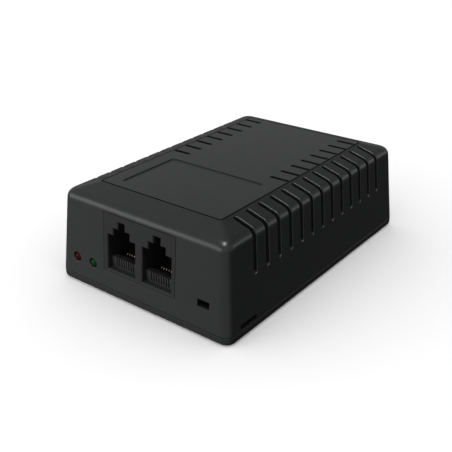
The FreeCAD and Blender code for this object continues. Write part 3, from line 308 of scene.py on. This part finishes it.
def sintered(slot):
    """Ferrite: dark, matt and speckled, with paler corners."""
    material, g = new_material(slot)
    specks = g.spread(g.cells(0.4 * MM), 0.05, 0.4, 1.0, 0.0)
    cloud = g.noise(3 * MM, detail=3)
    edges = g.edge_mask(0.2 * MM)
    tone = g.blend(g.math("MULTIPLY", specks, 0.5), (0.022, 0.022, 0.024), (0.07, 0.07, 0.075))
    tone = g.blend(g.math("MULTIPLY", edges, 0.5), tone, (0.12, 0.12, 0.125))
    normal = g.bump(specks, 0.02 * MM, normal=g.soft_edges(0.15 * MM))
    g.surface(tone, g.spread(cloud, 0.3, 0.7, 0.62, 0.8), normal)
    return material


def enamel(slot):
    """Varnished copper wire."""
    material, g = new_material(slot)
    streak = g.noise(0.4 * MM, detail=2)
    tone = g.blend(g.spread(streak, 0.3, 0.7, 0.0, 1.0), (0.4, 0.13, 0.04), (0.62, 0.24, 0.08))
    gloss = g.spread(streak, 0.3, 0.7, 0.2, 0.32)
    g.surface(tone, gloss, g.bump(streak, 0.01 * MM), Metallic=0.8, Coat_Weight=0.5)
    return material


def wrapped_tape(slot):
    """Yellow polyester tape in overlapping layers."""
    material, g = new_material(slot)
    split = g.add("SeparateXYZ")
    g.link(g.place(), split.inputs[0])
    lap = g.math("FRACT", g.math("MULTIPLY", split.outputs[1], 1 / (3.1 * MM)))
    seam = g.spread(lap, 0.0, 0.06, 1.0, 0.0)
    wrinkle = g.noise(1.1 * MM, detail=3, where=g.stretched((1, 0.4, 1)))
    tone = g.blend(g.spread(wrinkle, 0.3, 0.7, 0.0, 1.0), (0.55, 0.38, 0.04), (0.72, 0.55, 0.08))
    tone = g.blend(g.math("MULTIPLY", seam, 0.5), tone, (0.3, 0.2, 0.03))
    g.surface(tone, g.spread(wrinkle, 0.3, 0.7, 0.24, 0.36), g.bump(wrinkle, 0.08 * MM))
    return material


def boxed_film(slot):
    """The glossy moulded box of a film capacitor."""
    material, g = new_material(slot)
    cloud = g.noise(4 * MM, detail=3)
    grain = g.noise(0.3 * MM, detail=2)
    tone = g.blend(g.spread(cloud, 0.3, 0.7, 0.0, 1.0), (0.5, 0.37, 0.06), (0.62, 0.48, 0.1))
    normal = g.bump(grain, 0.008 * MM, normal=g.soft_edges(0.2 * MM))
    g.surface(tone, g.spread(cloud, 0.3, 0.7, 0.28, 0.38), normal)
    return material


def fired(slot):
    """Small fired chips: pale ceramic with tinned ends."""
    material, g = new_material(slot)
    ends = g.spread(g.math("ABSOLUTE", g.facing(1)), 0.6, 0.9, 0.0, 1.0)
    grit = g.noise(0.2 * MM, detail=2)
    tone = g.blend(grit, (0.3, 0.23, 0.16), (0.46, 0.38, 0.28))
    tone = g.blend(ends, tone, (0.6, 0.6, 0.6))
    shader = g.surface(tone, g.spread(grit, 0.3, 0.7, 0.4, 0.55), g.bump(grit, 0.008 * MM))
    g.link(ends, shader.inputs["Metallic"])
    return material


def rubber(slot):
    """Matt rubber with a powdery bloom."""
    material, g = new_material(slot)
    bloom = g.noise(1.5 * MM, detail=4, rough=0.7)
    grain = g.noise(0.2 * MM, detail=2)
    tone = g.blend(g.spread(bloom, 0.4, 0.75, 0.0, 1.0), (0.018, 0.018, 0.018), (0.04, 0.04, 0.041))
    g.surface(tone, g.spread(bloom, 0.3, 0.7, 0.72, 0.88), g.bump(grain, 0.02 * MM))
    return material


CASE_BLACK = (0.0143, 0.0152, 0.0152)
# The base's black is the case black darkened by a quarter: painted shade standing in for the floor's
# contact shadow on the lower rim.
BASE_BLACK_WITH_PAINTED_SHADE = shaded(CASE_BLACK, 0.75)
JACK_BLACK = shaded(CASE_BLACK, 0.8)
COMB_BLACK = (0.024, 0.024, 0.0245)
CHIP_BLACK = (0.018, 0.018, 0.018)

LOOKS = {
    "case_plastic": lambda slot: moulded(slot, CASE_BLACK, 0.30),
    # The base takes the darkened black, which paints contact shade on the lower rim.
    "base_plastic": lambda slot: moulded(slot, BASE_BLACK_WITH_PAINTED_SHADE, 0.36, edge=0.14, specular=0.38),
    "jack_plastic": lambda slot: moulded(slot, JACK_BLACK, 0.42, grain=0.2, depth=0.003, specular=0.4),
    "comb_plastic": lambda slot: moulded(slot, COMB_BLACK, 0.45, grain=0.2, depth=0.003, edge=0.06),
    "contact_gold": lambda slot: metal(slot, (0.72, 0.6, 0.34), 0.16, brushed=(6, 1, 1), size=0.2),
    "red_lens": lambda slot: lens(slot, (0.055, 0.001, 0.0004)),
    "green_lens": lambda slot: lens(slot, (0.001, 0.05, 0.004)),
    "tinned_lead": lambda slot: metal(slot, (0.68, 0.68, 0.67), 0.3, brushed=(4, 4, 1)),
    "inlet_plastic": lambda slot: moulded(slot, (0.021, 0.021, 0.021), 0.32, grain=0.2, depth=0.004),
    "pin_metal": lambda slot: metal(slot, (0.72, 0.69, 0.63), 0.2, brushed=(8, 1, 8), size=0.6),
    "board_green": board_mask,
    "sheet_fibre": fish_paper,
    "screw_steel": lambda slot: metal(slot, (0.58, 0.58, 0.59), 0.3, depth=0.004),
    "foot_rubber": rubber,
    "fuse_body": lambda slot: moulded(slot, (0.09, 0.035, 0.018), 0.42, depth=0.01),
    "blue_coating": lambda slot: dipped(slot, (0.01, 0.06, 0.26)),
    "green_coating": lambda slot: dipped(slot, (0.02, 0.12, 0.05), 0.4),
    "film_case": boxed_film,
    "ferrite": sintered,
    "enamel_wire": enamel,
    "can_sleeve": sleeve,
    "chip_black": lambda slot: moulded(slot, CHIP_BLACK, 0.55, grain=0.12, depth=0.01, edge=0.06),
    "sink_aluminium": lambda slot: metal(slot, (0.76, 0.77, 0.78), 0.34, brushed=(1, 0.04, 1), size=0.3),
    "bobbin_black": lambda slot: moulded(slot, (0.028, 0.026, 0.025), 0.5, depth=0.01),
    "coil_tape": wrapped_tape,
    "chip_ceramic": fired,
}


def dress_nodes():
    """Gives every CAD node the finish of its slot."""
    made = {}
    for part in frame["record"]["subparts"]:
        slot = part["material_slot"]
        if slot not in made:
            made[slot] = LOOKS[slot](slot)
        materials = NODES[part["node"]].data.materials
        for index in range(len(materials)):
            materials[index] = made[slot]


# ---------------------------------------------------------------- stage and light

FLOOR_HALF = 12.0
BACKGROUND = 1.25

# Brightness of the sky, and where it changes. A turn is a span of the ray's forward or upward part.
HORIZON_TURN = (-0.03, 0.05)
LOW_TURN = (-0.05, 0.45)
REAR_TURN = (-0.72, -0.32)
FRONT_TURN = (-0.32, 0.6)
REAR_HIGH_TURN = (0.4, 0.65)
TOP_TURN = (0.4, 0.75)
SKY_REAR = 0.3
SKY_REAR_HIGH = 0.03
SKY_SIDE = 0.42
SKY_FRONT = 0.6
SKY_TOP = 0.65
LOW_REAR = 0.045
LOW_FRONT = 0.42

# Lights. Azimuth and elevation are in degrees, distance and size in metres.
FLOOR_LEVEL = 0.72
FLOOR_ANGLE = 170
OVERHEAD = {"azimuth": 38, "elevation": 83, "distance": 1.6, "size": (0.42, 0.9), "radiance": 14.5}
FRONT_LEFT = {"azimuth": -25, "elevation": 14, "distance": 0.8, "size": (1.1, 0.4), "radiance": 1.6}
REAR_RIGHT = {"azimuth": 137, "elevation": 13, "distance": 0.8, "size": (0.5, 0.2), "radiance": 0.9}


def make_floor():
    """A plain pale floor. It sends no light back to the object, and the object doesn't mirror it."""
    mesh = bpy.data.meshes.new("floor")
    h = FLOOR_HALF
    mesh.from_pydata([(-h, -h, 0), (h, -h, 0), (h, h, 0), (-h, h, 0)], [], [(0, 1, 2, 3)])
    floor = bpy.data.objects.new("floor", mesh)
    bpy.context.scene.collection.objects.link(floor)
    material, g = new_material("floor")
    cloud = g.noise(500 * MM, detail=2)
    g.surface(g.blend(cloud, (0.93, 0.93, 0.93), (0.95, 0.95, 0.95)), 0.9, Specular_IOR_Level=0.0)
    mesh.materials.append(material)
    floor.visible_glossy = False
    floor.visible_diffuse = False
    return floor


def make_world():
    """A dim soft sky, brighter in front than behind. The camera sees plain white past the floor."""
    world = bpy.data.worlds.new("studio")
    world.use_nodes = True
    bpy.context.scene.world = world
    g = Graph(world.node_tree)
    split = g.add("SeparateXYZ")
    g.link(g.add("TexCoord").outputs["Generated"], split.inputs[0])
    forward = g.math("MULTIPLY", split.outputs[1], -1.0)
    upward = split.outputs[2]
    low = g.spread(forward, *LOW_TURN, LOW_REAR, LOW_FRONT)
    rear = g.spread(upward, *REAR_HIGH_TURN, SKY_REAR, SKY_REAR_HIGH)
    rise = g.math("MULTIPLY", g.spread(forward, *REAR_TURN, 0.0, 1.0), g.math("SUBTRACT", SKY_SIDE, rear))
    behind = g.math("ADD", rear, rise)
    around = g.math("ADD", behind, g.spread(forward, *FRONT_TURN, 0.0, SKY_FRONT - SKY_SIDE))
    high = g.math("MULTIPLY", around, g.spread(upward, *TOP_TURN, 1.0, SKY_TOP))
    above = g.spread(upward, *HORIZON_TURN, 0.0, 1.0)
    below = g.math("MULTIPLY", g.math("SUBTRACT", 1.0, above), low)
    strength = g.math("ADD", g.math("MULTIPLY", above, high), below)
    plain = g.add("Background")
    plain.inputs["Strength"].default_value = BACKGROUND
    soft = g.add("Background")
    g.link(strength, soft.inputs["Strength"])
    pick = g.add("MixShader")
    g.link(g.add("LightPath").outputs["Is Camera Ray"], pick.inputs[0])
    g.link(soft.outputs[0], pick.inputs[1])
    g.link(plain.outputs[0], pick.inputs[2])
    for shader in (plain, soft):
        shader.inputs["Color"].default_value = (1, 1, 1, 1)
    g.link(pick.outputs[0], g.add("OutputWorld").inputs["Surface"])


def aim(obj, place, target):
    """Puts a light at place, shining at target."""
    look = Vector(target) - Vector(place)
    obj.matrix_world = Matrix.Translation(place) @ look.to_track_quat("-Z", "Y").to_matrix().to_4x4()


def softbox(name, azimuth, elevation, distance, size, radiance):
    """An area light seen from the object in that direction. Azimuth 0 is in front, along -Y."""
    az, el = math.radians(azimuth), math.radians(elevation)
    place = Vector((math.sin(az) * math.cos(el), -math.cos(az) * math.cos(el), math.sin(el))) * distance
    data = bpy.data.lights.new(name, "AREA")
    data.shape = "RECTANGLE"
    data.size, data.size_y = size
    data.energy = radiance * math.pi * size[0] * size[1]
    lamp = bpy.data.objects.new(name, data)
    bpy.context.scene.collection.objects.link(lamp)
    aim(lamp, place, VIEW_TARGET)
    lamp.visible_camera = False
    return lamp


def sun(name, level, angle, place):
    """A soft distant light from that place. A level of 1 lights a white level surface to white."""
    data = bpy.data.lights.new(name, "SUN")
    data.angle = math.radians(angle)
    data.energy = level * math.pi
    lamp = bpy.data.objects.new(name, data)
    bpy.context.scene.collection.objects.link(lamp)
    aim(lamp, place, (0, 0, 0))
    return lamp


def light_only(lamp, obj, state):
    """Limits a light to one object (INCLUDE), or keeps it off that object (EXCLUDE)."""
    group = bpy.data.collections.new(lamp.name + "_receivers")
    group.objects.link(obj)
    group.collection_objects[0].light_linking.link_state = state
    lamp.light_linking.receiver_collection = group


def make_lights(floor):
    """A soft overhead key, a wide light for the floor alone, and low boxes that edge the shoulders."""
    light_only(softbox("overhead", **OVERHEAD), floor, "EXCLUDE")
    light_only(sun("floor_light", FLOOR_LEVEL, FLOOR_ANGLE, (0.0, 0.1, 1.0)), floor, "INCLUDE")
    softbox("front_left", **FRONT_LEFT)
    softbox("rear_right", **REAR_RIGHT)


make_camera()
make_world()
make_lights(make_floor())
dress_nodes()
bpy.context.scene.view_settings.view_transform = "Standard"
bpy.context.scene.view_settings.look = "None"
